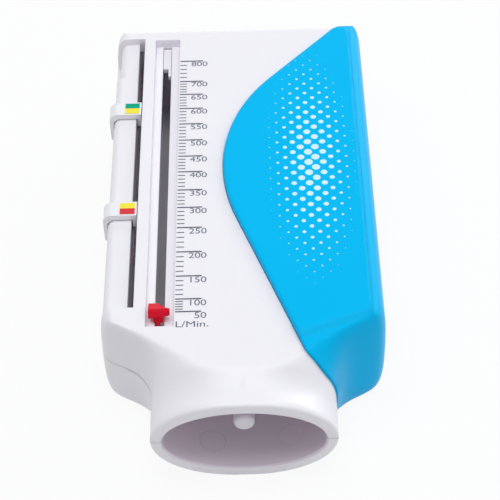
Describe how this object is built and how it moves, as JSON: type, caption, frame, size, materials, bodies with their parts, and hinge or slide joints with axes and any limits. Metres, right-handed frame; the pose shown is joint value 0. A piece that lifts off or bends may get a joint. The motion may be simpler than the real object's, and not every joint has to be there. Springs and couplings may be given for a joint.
{
  "type": "peak flow meter",
  "caption": "Flat hand-held peak flow meter with an oval mouthpiece, a sprung vane, a sliding pointer beside a printed scale, sliding zone markers and a coloured grip cover.",
  "frame": {"origin": "middle of the flat back that the meter rests on, at the bottom centre of its box", "axes": "+Y from the mouthpiece to the rear end, +Z out of the scale face, +X to the right of the scale, towards the coloured cover"},
  "size_m": [0.077, 0.1534, 0.0313],
  "materials": {
    "white_shell": "white moulded plastic, soft gloss",
    "blue_cover": "cyan blue moulded plastic, soft gloss",
    "white_inner": "white moulded plastic, low gloss",
    "red_pointer": "red moulded plastic",
    "label_green": "printed sticker, green",
    "label_yellow": "printed sticker, yellow",
    "label_red": "printed sticker, red",
    "spring_steel": "bright spring wire and pins"
  },
  "bodies": {
    "housing": {"housing_top": "white_shell", "housing_bottom": "white_shell", "grip_cover": "blue_cover", "vent_strip": "white_inner", "guide_tube": "white_inner", "tube_nose": "white_inner", "tube_holder": "white_inner", "anchor_pin": "spring_steel", "return_spring": "spring_steel"},
    "piston": {"vane": "white_inner", "vane_hub": "white_inner", "spring_pin": "spring_steel"},
    "pointer": {"pointer": "red_pointer", "pointer_foot": "white_inner"},
    "upper_marker": {"upper_marker": "white_inner", "upper_label_green": "label_green", "upper_label_yellow": "label_yellow"},
    "lower_marker": {"lower_marker": "white_inner", "lower_label_yellow": "label_yellow", "lower_label_red": "label_red"}
  },
  "joints": [
    {"name": "vane_slide", "type": "slide", "parent": "housing", "child": "piston", "axis": [0, 1, 0], "range_m": [0, 0.105], "stiffness_N_per_m": 8, "springref_m": -0.03, "deforming": ["return_spring"]},
    {"name": "pointer_slide", "type": "slide", "parent": "housing", "child": "pointer", "axis": [0, 1, 0], "range_m": [0, 0.105]},
    {"name": "upper_marker_slide", "type": "slide", "parent": "housing", "child": "upper_marker", "axis": [0, 1, 0], "range_m": [-0.0186, 0.0284]},
    {"name": "lower_marker_slide", "type": "slide", "parent": "housing", "child": "lower_marker", "axis": [0, 1, 0], "range_m": [-0.0353, 0.0186]}
  ],
  "couplings": [
    {"joint": "pointer_slide", "follows": "vane_slide", "ratio": 1}
  ]
}
